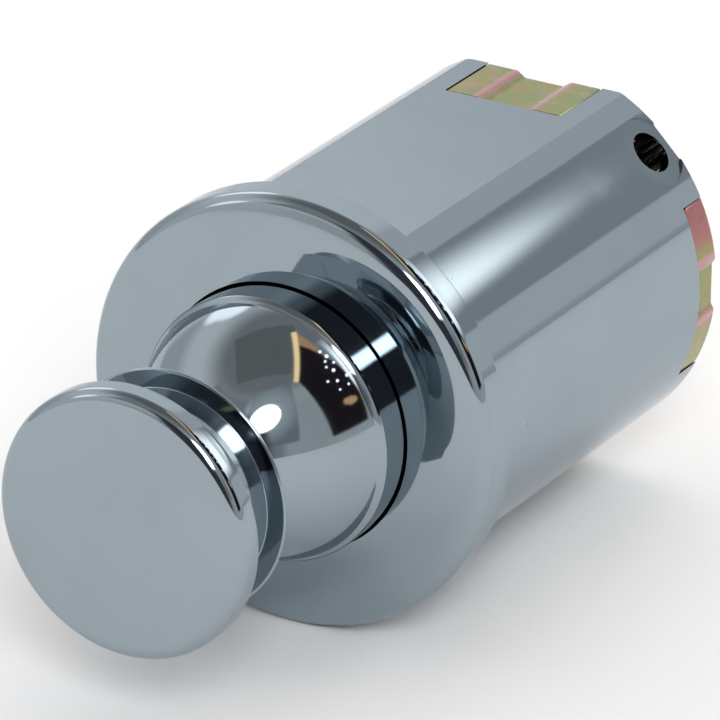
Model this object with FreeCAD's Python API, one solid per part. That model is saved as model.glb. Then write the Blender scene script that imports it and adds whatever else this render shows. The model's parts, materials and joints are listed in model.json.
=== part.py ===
# Cabinet knob latch: a chromed barrel for a round hole in a door, a mushroom knob that sinks into it,
# and two latch bolts that slide out through the barrel's rear wall as the knob goes in.
# The barrel's axis is Y with the knob towards -Y, and the flat along the barrel faces +Z.
# The origin lies on the axis, in the flange's rear face, where the latch seats on the door. Millimetres.
import FreeCAD, Part
import math
import os

# Barrel and flange
barrel_radius = 12.5
barrel_length = 28.4
flat_depth = 1.3
flange_radius = 13.8
flange_thickness = 2.9
flange_crown_angle = 15.0
flange_edge_round = 1.0
lip_length = 0.4
rear_edge_chamfer = 0.15

# Knob
knob_radius = 8.4
sunk_knob_rise = 0.3
disc_rim_width = 1.7
disc_edge_round = 0.8
neck_radius = 3.8
neck_setback = 5.9
dome_root_radius = 4.2
dome_height = 6.0
dome_crown_radius = 11.5
dome_edge_inset = 0.3
dome_edge_drop = 0.4
collar_step = 1.0
collar_length = 2.0
knob_hollow_radius = 6.4
knob_hollow_floor = 8.5
rod_bore_depth = 8.6

# Travel that the springs leave the cam and the bolts of the knob's travel
cam_travel = 3.6
bolt_travel = 2.4

# Running and seating clearances
mouth_gap = 0.25
running_gap = 0.05
plate_gap = 0.1
flat_gap = 0.07
slot_gap = 0.08
spring_gap = 0.1
end_gap = 0.05

# Rings and washers
seal_width = 0.9
seal_depth = 0.55
seal_setback = 1.9
washer_thickness = 0.6
glide_width = 1.0
glide_depth = 0.5
buffer_thickness = 0.9
buffer_inset = 0.4

# Rear mechanism
bore_gap = 0.2
guide_step = 0.6
guide_plate_thickness = 0.9
bridge_thickness = 2.4
bridge_width = 11.0
bolt_width = 8.0
bolt_depth = 5.33
shoulder_width = 10.4
shoulder_top = 6.3
bolt_inner_end = 0.35
post_radius = 1.1
post_length = 3.05
post_clearance = 0.6
post_z = 3.9
screw_radius = 0.45
screw_head_radius = 0.85
screw_head_height = 0.8
screw_z = 3.4
screw_depth = 3.5
screw_slot_width = 0.35
screw_slot_depth = 0.4

# Notches in the ends of the bolts and of the bridge plate
notch_mouth = 3.8
notch_floor = 2.7
notch_depth = 0.38
notch_edge_round = 0.15
bridge_corner_round = 0.6

# Cam plate, pins and guide rod
cam_thickness = 2.0
cam_half_height = 5.2
cam_pin_radius = 0.6
cam_pin_height = 1.4
cam_pin_setback = 3.9
cam_pin_length = 9.2
cam_wall = 1.45
cam_tail = 1.4
rod_radius = 2.0
rod_fork_length = 2.9
rod_tip_chamfer = 0.4
rod_tip_clearance = 0.4
cross_pin_radius = 0.6
clip_thickness = 0.6
clip_radius = 3.4
clip_groove_depth = 0.35
clip_mouth_angle = 70.0

# Springs
seat_thickness = 1.0
knob_spring_wire = 0.8
knob_spring_radius = 5.3
knob_spring_turns = 6
return_spring_wire = 0.7
return_spring_radius = 5.7
return_spring_turns = 2.5
return_spring_length = 6.4

# Cross hole near the barrel's rear end
cross_hole_radius = 1.4
cross_hole_setback = 2.0
cross_hole_angle = 45.0
spot_face_radius = 2.4
spot_face_depth = 0.3

# Radii from the knob outwards
mouth_radius = knob_radius + mouth_gap
collar_radius = knob_radius + collar_step
bore_radius = collar_radius + bore_gap
rear_bore_radius = bore_radius + guide_step
screw_circle_radius = (rear_bore_radius + barrel_radius) / 2
flat_height = barrel_radius - flat_depth
post_x = shoulder_width / 2 + post_radius + post_clearance

# Places along the axis, from the flange's lip backwards
face_y = -flange_thickness
washer_front_y = lip_length + end_gap
collar_front_y = washer_front_y + washer_thickness + end_gap
collar_rear_y = collar_front_y + collar_length

# Places along the axis, from the barrel's rear end forwards
bolt_front_y = barrel_length - bolt_depth
bolt_rear_y = barrel_length - end_gap
bridge_front_y = barrel_length - bridge_thickness
bridge_rear_y = bolt_rear_y
cam_pin_y = barrel_length - cam_pin_setback
guide_rear_y = bridge_front_y - post_length
guide_front_y = guide_rear_y - guide_plate_thickness
buffer_front_y = guide_front_y - buffer_thickness
cam_front_y = guide_front_y - return_spring_length
seat_front_y = cam_front_y - seat_thickness
clip_front_y = seat_front_y - clip_thickness
tongue_rear_y = bridge_front_y - plate_gap

# The knob travels until its collar meets the buffer, and then stands just proud of the flange
knob_travel = buffer_front_y - end_gap - collar_rear_y
knob_front_y = face_y - sunk_knob_rise - knob_travel
disc_rear_y = knob_front_y + disc_rim_width
neck_y = disc_rear_y + neck_setback
hollow_floor_y = collar_rear_y - knob_hollow_floor
rod_bore_floor_y = hollow_floor_y - rod_bore_depth
rod_tip_y = rod_bore_floor_y + knob_travel - cam_travel + rod_tip_clearance
rod_rear_y = cam_front_y + rod_fork_length
far = 4 * barrel_radius

axis_y = FreeCAD.Vector(0, 1, 0)
origin = FreeCAD.Vector(0, 0, 0)


def at(radius, y):
    """A point of a turned outline: its distance from the axis and its place along it."""
    return FreeCAD.Vector(radius, y, 0)


def line(start, end):
    return Part.LineSegment(start, end).toShape()


def arc(start, middle, end):
    return Part.Arc(start, middle, end).toShape()


def bulged(start, end, radius, side):
    """An arc of a given radius between two points, on the side of the chord that side (1 or -1) picks."""
    half = (end - start).Length / 2
    rise = radius - math.sqrt(radius ** 2 - half ** 2)
    normal = FreeCAD.Vector(end.y - start.y, start.x - end.x, 0).normalize()
    return arc(start, (start + end) * 0.5 + normal * (side * rise), end)


def quarter(start, corner, end):
    """A round between two straight runs that meet at the corner, from one tangent point to the other."""
    centre = start + end - corner
    middle = centre + (corner - centre).normalize() * (start - centre).Length
    return arc(start, middle, end)


def polyline(points):
    return [line(a, b) for a, b in zip(points, points[1:])]


def turned(edges):
    """A solid of revolution about the barrel's axis from a closed outline."""
    return Part.Face(Part.Wire(edges)).revolve(origin, axis_y, 360)


def rod(radius, y0, y1, x=0.0, z=0.0):
    return Part.makeCylinder(radius, y1 - y0, FreeCAD.Vector(x, y0, z), axis_y)


def ring(outer, inner, y0, y1):
    return rod(outer, y0, y1).cut(rod(inner, y0, y1))


def block(x0, x1, y0, y1, z0, z1):
    return Part.makeBox(x1 - x0, y1 - y0, z1 - z0, FreeCAD.Vector(x0, y0, z0))


def across(radius, length, y, z):
    """A pin across the barrel, along X and centred on the axis."""
    return Part.makeCylinder(radius, length, FreeCAD.Vector(-length / 2, y, z), FreeCAD.Vector(1, 0, 0))


def turned_over(shape):
    """The same piece half a turn about the barrel's axis."""
    copy = shape.copy()
    copy.rotate(origin, axis_y, 180)
    return copy


def prism(points, thickness):
    """A plate of a (y, z) outline, standing in the plane of the barrel's axis and centred across X."""
    corners = [FreeCAD.Vector(-thickness / 2, y, z) for y, z in points]
    face = Part.Face(Part.makePolygon(corners + corners[:1]))
    return face.extrude(FreeCAD.Vector(thickness, 0, 0))


# Notch along Y, cut down from a pad's outer face at the given height
def notch(height):
    half_mouth = notch_mouth / 2
    half_floor = notch_floor / 2
    slope = (half_mouth - half_floor) / notch_depth
    top = half_mouth + slope * notch_depth
    profile = [(-top, height + notch_depth), (-half_floor, height - notch_depth)]
    profile += [(half_floor, height - notch_depth), (top, height + notch_depth)]
    corners = [FreeCAD.Vector(x, 0, z) for x, z in profile]
    face = Part.Face(Part.makePolygon(corners + corners[:1]))
    return face.extrude(FreeCAD.Vector(0, far, 0))


# One smooth run of arcs along a helix about the barrel's axis, two tangent arcs to each quarter turn
def helix_wire(radius, y0, y1, turns):
    pitch = (y1 - y0) / turns
    steps = round(turns * 4)
    edges = []

    def point(step):
        angle = step * math.pi / 2
        return FreeCAD.Vector(radius * math.cos(angle), y0 + pitch * step / 4, radius * math.sin(angle))

    def heading(step):
        angle = step * math.pi / 2
        rise = pitch / (2 * math.pi)
        return FreeCAD.Vector(-radius * math.sin(angle), rise, radius * math.cos(angle)).normalize()

    def tangent_arc(start, corner, end):
        half = (end - start).Length / 2
        reach = (corner - start).Length
        foot = (start + end) * 0.5
        turn = math.acos(half / reach)
        return arc(start, foot + (corner - foot) * (math.tan(turn / 2) / math.tan(turn)), end)

    for step in range(steps):
        start, end = point(step), point(step + 1)
        leave, arrive = heading(step), heading(step + 1)
        chord = end - start
        spread = 2 * (1 - leave.dot(arrive))
        along = chord.dot(leave + arrive)
        reach = (math.sqrt(along ** 2 + spread * chord.dot(chord)) - along) / spread
        first = start + leave * reach
        second = end - arrive * reach
        joint = (first + second) * 0.5
        edges.append(tangent_arc(start, first, joint))
        edges.append(tangent_arc(joint, second, end))
    return Part.Wire(edges)


# Wound spring: one round wire from seat to seat
def coil_spring(name, radius, wire, turns, y0, y1):
    start_y = y0 + wire / 2 + end_gap
    end_y = y1 - wire / 2 - end_gap
    path = helix_wire(radius, start_y, end_y, turns)
    first = path.Edges[0]
    start = first.valueAt(first.FirstParameter)
    direction = first.tangentAt(first.FirstParameter)
    section = Part.Wire(Part.Circle(start, direction, wire / 2).toShape())
    shell = Part.BRepOffsetAPI.MakePipeShell(path)
    shell.add(section)
    shell.build()
    shell.makeSolid()
    spring = shell.shape()
    print_least_gap(name, path, wire)
    expected = math.pi * wire ** 2 / 4 * path.Length
    print(name, "volume", round(spring.Volume, 3), "section times length", round(expected, 3))
    return spring


def print_least_gap(name, path, wire):
    """Measure how near the wire's turns come to each other, on points a few degrees apart."""
    points = path.discretize(Number=12 * len(path.Edges))
    apart = 12 * 6
    distances = [(a - b).Length for i, a in enumerate(points) for b in points[i + apart:]]
    print(name, "least gap between turns", round(min(distances) - wire, 3))


# Barrel: flange, round wall with its flat, stepped bore, slots in the rear wall and the cross hole
def barrel_housing():
    groove_front = face_y + seal_setback
    groove_r = mouth_radius + seal_depth
    outside, side = flange_profile()
    chamfer_y = barrel_length - rear_edge_chamfer
    outside += polyline([
        side, at(flange_radius, 0), at(barrel_radius, 0),
        at(barrel_radius, chamfer_y), at(barrel_radius - rear_edge_chamfer, barrel_length),
        at(rear_bore_radius, barrel_length), at(rear_bore_radius, guide_front_y),
        at(bore_radius, guide_front_y), at(bore_radius, lip_length), at(mouth_radius, lip_length),
        at(mouth_radius, groove_front + seal_width), at(groove_r, groove_front + seal_width),
        at(groove_r, groove_front), at(mouth_radius, groove_front), at(mouth_radius, face_y)])
    body = turned(outside)
    body = body.cut(block(-far, far, 0, far, flat_height, far))
    half_slot = bolt_width / 2 + slot_gap
    body = body.cut(block(-half_slot, half_slot, bolt_front_y - flat_gap, far, -far, far))
    half_side = bridge_width / 2 + slot_gap
    body = body.cut(block(-far, far, bridge_front_y, far, -half_side, half_side))
    for x, z in screw_places():
        body = body.cut(rod(screw_radius, bridge_front_y - screw_depth, bridge_front_y, x, z))
    outward = cross_hole_direction()
    hole_y = barrel_length - cross_hole_setback
    inside = FreeCAD.Vector(0, hole_y, 0)
    body = body.cut(Part.makeCylinder(cross_hole_radius, far, inside, outward))
    spot_floor = inside + outward * (barrel_radius - spot_face_depth)
    return body.cut(Part.makeCylinder(spot_face_radius, far, spot_floor, outward))


def flange_profile():
    """The flange's crowned face, level at the mouth, and the rounded edge that takes up its slope."""
    slope = math.radians(flange_crown_angle)
    half_way = (slope + math.pi / 2) / 2
    round_r = flange_radius - flange_edge_round
    crown_end_r = round_r + flange_edge_round * math.sin(slope)
    width = crown_end_r - mouth_radius
    crown_end = at(crown_end_r, face_y + width * math.tan(slope / 2))
    round_y = crown_end.y + flange_edge_round * math.cos(slope)
    middle_r = round_r + flange_edge_round * math.sin(half_way)
    middle_y = round_y - flange_edge_round * math.cos(half_way)
    middle = at(middle_r, middle_y)
    side = at(flange_radius, round_y)
    crown = bulged(at(mouth_radius, face_y), crown_end, width / math.sin(slope), 1)
    return [crown, arc(crown_end, middle, side)], side


def cross_hole_direction():
    angle = math.radians(cross_hole_angle)
    return FreeCAD.Vector(math.cos(angle), 0, math.sin(angle))


def screw_places():
    x = math.sqrt(screw_circle_radius ** 2 - screw_z ** 2)
    return [(sx * x, sz * screw_z) for sx in (-1, 1) for sz in (-1, 1)]


# Soft ring in the mouth's groove that wipes the knob and closes the gap around it
def front_seal():
    front = face_y + seal_setback
    return ring(mouth_radius + seal_depth, knob_radius + running_gap, front, front + seal_width)


# Knob: flat disc, cove to a narrow neck, domed shoulder, skirt and a collar that keeps it in the barrel
def knob():
    cove_depth = knob_radius - neck_radius
    cove_radius = (cove_depth ** 2 + neck_setback ** 2) / (2 * cove_depth)
    root_rise = cove_radius - (dome_root_radius - neck_radius)
    root_y = neck_y + math.sqrt(cove_radius ** 2 - root_rise ** 2)
    root = at(dome_root_radius, root_y)
    shoulder = at(knob_radius - dome_edge_inset, root_y + dome_height)
    skirt_top = at(knob_radius, shoulder.y + dome_edge_drop)
    edge_r = knob_radius - disc_edge_round
    edge_y = knob_front_y + disc_edge_round
    groove_front, groove_rear = glide_groove()
    groove_r = collar_radius - glide_depth
    edges = polyline([at(0, knob_front_y), at(edge_r, knob_front_y)])
    edges += [quarter(at(edge_r, knob_front_y), at(knob_radius, knob_front_y), at(knob_radius, edge_y))]
    edges += polyline([at(knob_radius, edge_y), at(knob_radius, disc_rear_y)])
    edges += [arc(at(knob_radius, disc_rear_y), at(neck_radius, neck_y), root)]
    edges += [bulged(root, shoulder, dome_crown_radius, 1)]
    edges += [bulged(shoulder, skirt_top, 2 * dome_edge_drop, 1)]
    edges += polyline([
        skirt_top, at(knob_radius, collar_front_y), at(collar_radius, collar_front_y),
        at(collar_radius, groove_front), at(groove_r, groove_front), at(groove_r, groove_rear),
        at(collar_radius, groove_rear), at(collar_radius, collar_rear_y),
        at(knob_hollow_radius, collar_rear_y), at(knob_hollow_radius, hollow_floor_y),
        at(rod_radius + mouth_gap, hollow_floor_y),
        at(rod_radius + mouth_gap, rod_bore_floor_y), at(0, rod_bore_floor_y), at(0, knob_front_y)])
    return turned(edges)


def glide_groove():
    front = collar_front_y + (collar_length - glide_width) / 2
    return front, front + glide_width


# Slippery ring in the collar's groove, which runs in the barrel's bore
def glide_ring():
    front, rear = glide_groove()
    return ring(bore_radius - running_gap, collar_radius - glide_depth, front, rear)


# Thin washer around the skirt that softens the knob's stop against the lip
def stop_washer():
    return ring(collar_radius, knob_radius, washer_front_y, washer_front_y + washer_thickness)


# Guide rod: carries the spring seat and the cam plate, and enters the knob's neck as the knob sinks
def spring_guide_rod():
    tip_r = rod_radius - rod_tip_chamfer
    groove_r = rod_radius - clip_groove_depth
    body = turned(polyline([
        at(0, rod_tip_y), at(tip_r, rod_tip_y), at(rod_radius, rod_tip_y + rod_tip_chamfer),
        at(rod_radius, clip_front_y), at(groove_r, clip_front_y), at(groove_r, seat_front_y),
        at(rod_radius, seat_front_y), at(rod_radius, rod_rear_y), at(0, rod_rear_y), at(0, rod_tip_y)]))
    half = cam_thickness / 2
    body = body.cut(block(-half, half, cam_front_y, rod_rear_y, -rod_radius, rod_radius))
    return body.cut(across(cross_pin_radius, far, cross_pin_y(), 0))


def cross_pin_y():
    return cam_front_y + rod_fork_length / 2


def cam_cross_pin():
    length = 2 * math.sqrt(rod_radius ** 2 - cross_pin_radius ** 2)
    return across(cross_pin_radius, length, cross_pin_y(), 0)


# Round seat between the two springs
def spring_seat():
    outer = knob_hollow_radius - 3 * spring_gap
    return ring(outer, rod_radius + running_gap, seat_front_y, cam_front_y)


# Open spring clip in the rod's groove, with its mouth upwards
def seat_clip():
    inner = rod_radius - clip_groove_depth
    body = ring(clip_radius, inner, clip_front_y, seat_front_y)
    half = math.radians(clip_mouth_angle / 2)
    reach = 2 * clip_radius
    corners = [FreeCAD.Vector(0, clip_front_y, 0)]
    for side in (-1, 1):
        corners.append(FreeCAD.Vector(side * reach * math.sin(half), clip_front_y, reach * math.cos(half)))
    wedge = Part.Face(Part.makePolygon(corners + corners[:1])).extrude(FreeCAD.Vector(0, clip_thickness, 0))
    return body.cut(wedge)


# Cam plate: two slanting slots push the bolts' pins apart as the plate moves back
def cam_plate():
    slope = bolt_travel / cam_travel
    edge_height = cam_pin_height + cam_wall
    full_y = cam_pin_y - (cam_half_height - edge_height) / slope
    rear_y = cam_pin_y + cam_tail
    rear_height = edge_height - slope * cam_tail
    upper = [(cam_front_y, cam_half_height), (full_y, cam_half_height), (rear_y, rear_height)]
    lower = [(y, -z) for y, z in reversed(upper)]
    body = prism(upper + lower, cam_thickness)
    for side in (-1, 1):
        body = body.cut(cam_slot(side))
    return body.cut(across(cross_pin_radius, far, cross_pin_y(), 0))


# Slot in the cam plate for one bolt's pin, above the axis for side 1 and below it for side -1
def cam_slot(side):
    radius = cam_pin_radius + running_gap
    near = FreeCAD.Vector(0, cam_pin_y, side * cam_pin_height)
    away = FreeCAD.Vector(0, cam_pin_y - cam_travel, side * (cam_pin_height + bolt_travel))
    along = (away - near).normalize()
    aside = FreeCAD.Vector(0, -along.z, along.y) * radius
    corners = [near + aside, away + aside, away - aside, near - aside]
    corners = [FreeCAD.Vector(-far / 2, c.y, c.z) for c in corners]
    middle = Part.Face(Part.makePolygon(corners + corners[:1])).extrude(FreeCAD.Vector(far, 0, 0))
    ends = [across(radius, far, p.y, p.z) for p in (near, away)]
    return middle.fuse(ends)


# Latch bolt, pointing up: head in the barrel's slot, shoulders and a fork astride the cam plate
def latch_bolt(outer_height, outline):
    half = bolt_width / 2
    half_shoulder = shoulder_width / 2
    head = block(-half, half, bolt_front_y, bolt_rear_y, bridge_width / 2 + plate_gap, outer_height)
    tongue = block(-half_shoulder, half_shoulder, bolt_front_y, tongue_rear_y, bolt_inner_end, shoulder_top)
    body = head.fuse(tongue).removeSplitter()
    half_fork = cam_thickness / 2 + plate_gap
    edge_height = cam_pin_height + cam_wall
    fork_top = edge_height + bolt_travel / cam_travel * (cam_pin_y - bolt_front_y) + 3 * plate_gap
    body = body.cut(block(-half_fork, half_fork, 0, far, 0, fork_top))
    body = body.cut(across(cam_pin_radius, cam_pin_length, cam_pin_y, cam_pin_height))
    body = body.common(outline).cut(notch(outer_height))
    return rounded_notch_edges(body, outer_height)


def rounded_notch_edges(body, height):
    """Round the two long edges where a notch meets the pads beside it."""
    edges = [e for e in body.Edges if on_notch_mouth(e, height)]
    return body.makeFillet(notch_edge_round, edges) if edges else body


def on_notch_mouth(edge, height):
    box = edge.BoundBox
    near_mouth = abs(abs(edge.CenterOfMass.x) - notch_mouth / 2) < notch_edge_round
    straight = box.YLength > bridge_thickness / 2 and box.XLength < end_gap and box.ZLength < end_gap
    return near_mouth and straight and abs(edge.CenterOfMass.z - height) < notch_depth / 2


def barrel_inside(gap):
    """The space inside the barrel's outer surface, for pieces whose ends lie flush with it."""
    return rod(barrel_radius - gap, -far, far)


def bolt_top():
    return latch_bolt(flat_height, barrel_inside(end_gap))


def bolt_bottom():
    return turned_over(latch_bolt(barrel_radius, barrel_inside(end_gap)))


def bolt_pin_top():
    return across(cam_pin_radius, cam_pin_length, cam_pin_y, cam_pin_height)


def bolt_pin_bottom():
    return turned_over(bolt_pin_top())


# Guide plate: seats on the step in the bore, with a slot for the cam plate and a round hole for the rod
def guide_plate():
    half_x = cam_thickness / 2 + plate_gap
    half_z = cam_half_height + plate_gap
    plate = rod(rear_bore_radius - running_gap, guide_front_y, guide_rear_y)
    slot = block(-half_x, half_x, 0, far, -half_z, half_z)
    return plate.cut([slot, rod(rod_radius + plate_gap, 0, far)])


# Soft ring on the guide plate that the knob's skirt lands on
def buffer_ring():
    outer = bore_radius - 2 * plate_gap
    return ring(outer, knob_hollow_radius + buffer_inset, buffer_front_y, guide_front_y)


# Four posts that hold the guide plate against its step from the bridge plate
def spacer_posts():
    places = [(sx * post_x, sz * post_z) for sx in (-1, 1) for sz in (-1, 1)]
    return Part.makeCompound([rod(post_radius, guide_rear_y, bridge_front_y, x, z) for x, z in places])


# Bridge plate across the rear end, its notched ends flush with the barrel in the side slots
def bridge_plate():
    half_width = bridge_width / 2
    plate = block(-far, far, bridge_front_y, bridge_rear_y, -half_width, half_width)
    in_front = [e for e in plate.Edges if abs(e.CenterOfMass.y - bridge_front_y) < end_gap]
    front_edges = [e for e in in_front if e.Length > far]
    plate = plate.makeFillet(bridge_corner_round, front_edges)
    plate = plate.common(barrel_inside(end_gap))
    half_x = cam_thickness / 2 + plate_gap
    slope = bolt_travel / cam_travel
    reach = cam_pin_height + cam_wall + slope * (cam_pin_y + cam_travel - bridge_front_y)
    half_z = reach + 2 * plate_gap
    plate = plate.cut(block(-half_x, half_x, 0, far, -half_z, half_z))
    for x, z in screw_places():
        plate = plate.cut(rod(screw_radius, 0, far, x, z))
        head_floor = bridge_rear_y - screw_head_height - end_gap
        plate = plate.cut(rod(screw_head_radius + end_gap, head_floor, far, x, z))
    end_notch = notch(barrel_radius)
    for angle in (90, -90):
        sideways = end_notch.copy()
        sideways.rotate(origin, axis_y, angle)
        plate = plate.cut(sideways)
    return plate


# Four slotted screws that hold the bridge plate on the barrel's wall
def bridge_plate_screws():
    head_front = bridge_rear_y - screw_head_height - end_gap
    head_rear = bridge_rear_y - end_gap
    screws = []
    for x, z in screw_places():
        shank = rod(screw_radius, bridge_front_y - screw_depth, head_front, x, z)
        head = rod(screw_head_radius, head_front, head_rear, x, z)
        half = screw_slot_width / 2
        driver_slot = block(x - far, x + far, head_rear - screw_slot_depth, far, z - half, z + half)
        screws.append(shank.fuse(head).removeSplitter().cut(driver_slot))
    return Part.makeCompound(screws)


def knob_spring():
    return coil_spring("knob_spring", knob_spring_radius, knob_spring_wire, knob_spring_turns,
                       hollow_floor_y, seat_front_y)


def return_spring():
    return coil_spring("return_spring", return_spring_radius, return_spring_wire, return_spring_turns,
                       cam_front_y, guide_front_y)


pieces = [
    barrel_housing, front_seal, knob, glide_ring, stop_washer, knob_spring, spring_guide_rod, seat_clip,
    spring_seat, cam_plate, cam_cross_pin, return_spring, buffer_ring, guide_plate, spacer_posts,
    bridge_plate, bridge_plate_screws, bolt_top, bolt_bottom, bolt_pin_top, bolt_pin_bottom]

os.makedirs("parts", exist_ok=True)
for piece in pieces:
    shape = piece()
    solids = shape.Solids
    print(piece.__name__, "solids", len(solids), "valid", shape.isValid(), "volume", round(shape.Volume, 2))
    shape.exportStep("parts/" + piece.__name__ + ".step")
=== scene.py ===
# %% [markdown]
# # Dressing a chromed knob latch
#
# The latch is a chromed barrel with a mushroom knob in front, and yellow zinc parts that show in the
# slots of its rear wall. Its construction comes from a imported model, which loads first and stays fixed:
# each visible piece made here stands for one of its nodes, or gives a node its finish.

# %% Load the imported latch
import json
import math

import bmesh
import bpy
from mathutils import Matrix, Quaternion, Vector


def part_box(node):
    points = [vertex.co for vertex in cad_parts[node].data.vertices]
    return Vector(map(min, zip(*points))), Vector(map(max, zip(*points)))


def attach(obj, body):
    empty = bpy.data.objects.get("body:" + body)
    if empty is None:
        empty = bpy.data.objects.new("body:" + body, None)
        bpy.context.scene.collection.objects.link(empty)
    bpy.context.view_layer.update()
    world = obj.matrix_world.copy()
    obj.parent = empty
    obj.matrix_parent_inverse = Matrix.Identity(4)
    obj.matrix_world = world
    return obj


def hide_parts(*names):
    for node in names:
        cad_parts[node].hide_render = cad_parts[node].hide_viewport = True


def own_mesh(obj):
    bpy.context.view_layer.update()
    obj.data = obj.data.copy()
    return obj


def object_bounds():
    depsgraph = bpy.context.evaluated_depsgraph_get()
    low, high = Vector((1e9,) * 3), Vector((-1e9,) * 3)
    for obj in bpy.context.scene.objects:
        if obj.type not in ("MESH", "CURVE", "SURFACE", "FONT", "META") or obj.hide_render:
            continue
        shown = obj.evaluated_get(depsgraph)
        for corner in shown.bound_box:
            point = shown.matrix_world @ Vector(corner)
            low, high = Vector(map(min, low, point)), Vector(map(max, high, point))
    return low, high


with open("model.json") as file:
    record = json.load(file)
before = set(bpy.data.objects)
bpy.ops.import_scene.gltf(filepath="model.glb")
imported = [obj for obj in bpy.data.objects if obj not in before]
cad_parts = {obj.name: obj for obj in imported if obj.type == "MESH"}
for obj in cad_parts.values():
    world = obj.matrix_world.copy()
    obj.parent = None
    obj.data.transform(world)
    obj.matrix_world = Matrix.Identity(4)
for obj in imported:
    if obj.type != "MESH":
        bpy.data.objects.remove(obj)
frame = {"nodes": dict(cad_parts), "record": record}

cad_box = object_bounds()
print("CAD box in mm:", [round(1000 * v, 2) for corner in cad_box for v in corner])

# %% [markdown]
# ## Places that come from the frame
#
# A piece fits where it belongs only if its sizes come from the model that it dresses. So the radii and
# the places along the barrel are read from the nodes' boxes and from the record's mounts, and only the
# sizes of shapes inside a box, such as the knob's neck, are written down here. Blender works in metres,
# so those carry a factor.

# %% Read the main places
MM = 0.001
low = {node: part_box(node)[0] for node in frame["nodes"]}
high = {node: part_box(node)[1] for node in frame["nodes"]}

fit_gap = 0.05 * MM
face_y = low["barrel_housing"].y
rear_y = high["barrel_housing"].y
flange_radius = high["barrel_housing"].x
mounts = {mount["name"]: mount for mount in frame["record"]["mounts"]}
barrel_radius = mounts["barrel_shank"]["dims"]["r_mm"] * MM
flat_height = high["bolt_top"].z
rear_bore_radius = high["guide_plate"].x + fit_gap
guide_front_y = low["guide_plate"].y
collar_radius = high["knob"].x
knob_front_y = low["knob"].y
knob_rear_y = high["knob"].y
bore_radius = high["glide_ring"].x + fit_gap
seal_radius = high["front_seal"].x
print("barrel radius", round(barrel_radius / MM, 2), "mm, knob front at", round(knob_front_y / MM, 2), "mm")

# %% [markdown]
# ## Formulas instead of wires
#
# A node tree is easier to read as a sum than as a drawing. One small class stands for the output of a
# node and overloads the operators, so that `1 - mask * 0.3` adds its own Math nodes. Every other node
# comes from one method that takes the node's type, its settings and what goes into its sockets.

# %% A node tree that reads as formulas
class Wire:
    """The output of a node, which takes part in sums."""

    def __init__(self, tree, socket):
        self.tree = tree
        self.socket = socket

    def maths(self, operation, *others):
        settings = {"operation": operation}
        return self.tree.add("ShaderNodeMath", settings, dict(enumerate((self, *others))))

    def __add__(self, other):
        return self.maths("ADD", other)

    def __sub__(self, other):
        return self.maths("SUBTRACT", other)

    def __mul__(self, other):
        return self.maths("MULTIPLY", other)

    def __truediv__(self, other):
        return self.maths("DIVIDE", other)

    def __rsub__(self, other):
        return self.tree.add("ShaderNodeMath", {"operation": "SUBTRACT"}, {0: other, 1: self})

    def take(self, name):
        """Another output of the same node."""
        return Wire(self.tree, self.socket.node.outputs[name])

    def between(self, start, end):
        """0 up to start, 1 from end on, and a smooth step between them."""
        settings = {"interpolation_type": "SMOOTHSTEP"}
        inputs = {"Value": self, "From Min": start, "From Max": end}
        return self.tree.add("ShaderNodeMapRange", settings, inputs)


class Tree:
    """A shader or geometry tree whose nodes are added by type."""

    def __init__(self, nodes, links):
        self.nodes = nodes
        self.links = links

    def add(self, kind, settings=None, inputs=None, output=0):
        node = self.nodes.new(kind)
        for name, value in (settings or {}).items():
            setattr(node, name, value)
        for key, value in (inputs or {}).items():
            self.feed(node.inputs[key], value)
        return Wire(self, node.outputs[output]) if len(node.outputs) else None

    def feed(self, socket, value):
        if isinstance(value, Wire):
            self.links.new(value.socket, socket)
        else:
            socket.default_value = value

    def vectors(self, operation, first, second, output=0):
        return self.add("ShaderNodeVectorMath", {"operation": operation}, {0: first, 1: second}, output)

    def blend(self, share, first, second):
        """The first colour, turned into the second by a share from 0 to 1."""
        settings = {"data_type": "RGBA", "clamp_factor": True}
        return self.add("ShaderNodeMix", settings, {0: share, 6: first, 7: second}, output=2)


def colour(red, green, blue):
    return (red, green, blue, 1.0)


print("formulas ready")

# %% [markdown]
# ## Finishes
#
# All patterns here read Object coordinates, which stay on a piece when it moves. Each finish starts from
# the same few helpers: noise at a size in millimetres, a blend of two colours, and a bump whose depth is
# a real depth, because a bump that is right on a wall tears a part of this size to pieces.

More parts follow.
